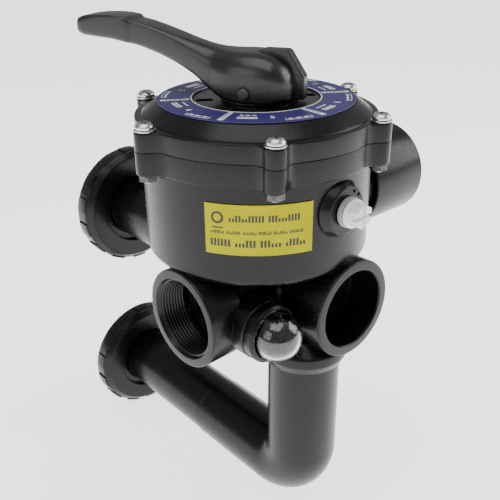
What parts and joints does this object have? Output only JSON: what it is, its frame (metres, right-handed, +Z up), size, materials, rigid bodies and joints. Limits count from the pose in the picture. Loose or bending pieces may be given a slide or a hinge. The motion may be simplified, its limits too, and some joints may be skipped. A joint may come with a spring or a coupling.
{
  "type": "multiport valve",
  "caption": "Side-mount diverter valve for a pool filter: round bowl with bolted lid, push-and-turn lever, waste and return ports, pump socket, sight glass and an elbowed pipe between unions.",
  "frame": {"origin": "centre of the sealing face of the upper union, where the valve is fastened to the filter", "axes": "+Y out of both unions towards the filter, +Z up along the rotor axis, +X towards the pump socket; the return port faces -Y and the waste port faces -X"},
  "size_m": [0.22, 0.2527, 0.3584],
  "materials": {
    "black_plastic": "satin black moulded ABS with a faint sheen",
    "handle_plastic": "satin black glass-filled nylon, slightly glossier than the body",
    "position_print": "blue-violet printed ring with white marks",
    "yellow_label": null,
    "stainless_steel": "bright stainless steel fasteners and spring",
    "white_nylon": "white moulded nylon",
    "grey_plastic": "pale grey sealing washer",
    "rubber": "black nitrile rubber",
    "acetal": "off-white low-friction plastic",
    "clear_plastic": "clear moulded polycarbonate dome"
  },
  "bodies": {
    "valve_body": {"valve_body": "black_plastic", "pump_socket": "black_plastic", "return_elbow": "black_plastic", "return_pipe": "black_plastic", "upper_tailpiece": "black_plastic", "lower_tailpiece": "black_plastic", "upper_union_o_ring": "rubber", "lower_union_o_ring": "rubber", "lid": "black_plastic", "lid_o_ring": "rubber", "position_ring": "position_print", "front_label": "yellow_label", "spider_gasket": "rubber", "sight_glass": "clear_plastic", "sight_glass_ring": "black_plastic", "sight_glass_o_ring": "rubber", "drain_plug": "white_nylon", "drain_plug_washer": "grey_plastic", "lid_screw_1": "stainless_steel", "lid_screw_2": "stainless_steel", "lid_screw_3": "stainless_steel", "lid_screw_4": "stainless_steel", "lid_screw_5": "stainless_steel", "lid_screw_6": "stainless_steel", "lid_washer_1": "stainless_steel", "lid_washer_2": "stainless_steel", "lid_washer_3": "stainless_steel", "lid_washer_4": "stainless_steel", "lid_washer_5": "stainless_steel", "lid_washer_6": "stainless_steel", "lid_nut_1": "stainless_steel", "lid_nut_2": "stainless_steel", "lid_nut_3": "stainless_steel", "lid_nut_4": "stainless_steel", "lid_nut_5": "stainless_steel", "lid_nut_6": "stainless_steel"},
    "slip_washers": {"upper_spring_washer": "acetal", "handle_washer": "acetal"},
    "rotor": {"rotor": "acetal", "stem_o_ring_1": "rubber", "stem_o_ring_2": "rubber", "lower_spring_washer": "acetal", "rotor_spring": "stainless_steel", "handle_pin": "handle_plastic"},
    "handle": {"handle": "handle_plastic"},
    "upper_union_nut": {"upper_union_nut": "black_plastic"},
    "lower_union_nut": {"lower_union_nut": "black_plastic"}
  },
  "joints": [
    {"name": "rotor_spin", "type": "hinge", "parent": "valve_body", "child": "slip_washers", "pos_m": [0, -0.1586, 0.1165], "axis": [0, 0, 1], "continuous": true},
    {"name": "rotor_lift", "type": "slide", "parent": "slip_washers", "child": "rotor", "axis": [0, 0, 1], "range_m": [0, 0.0052], "stiffness_N_per_m": 800, "springref_m": -0.01, "deforming": ["rotor_spring"]},
    {"name": "handle_press", "type": "hinge", "parent": "rotor", "child": "handle", "pos_m": [0, -0.1586, 0.1225], "axis": [-0.8829, -0.4695, 0], "range_deg": [0, 20]},
    {"name": "upper_union_nut_turn", "type": "hinge", "parent": "valve_body", "child": "upper_union_nut", "pos_m": [0, -0.004, 0], "axis": [0, 1, 0], "continuous": true},
    {"name": "lower_union_nut_turn", "type": "hinge", "parent": "valve_body", "child": "lower_union_nut", "pos_m": [0, -0.004, -0.1488], "axis": [0, 1, 0], "continuous": true}
  ],
  "couplings": [
    {"joint": "handle_press", "follows": "rotor_lift", "rad_per_m": 67.126}
  ]
}
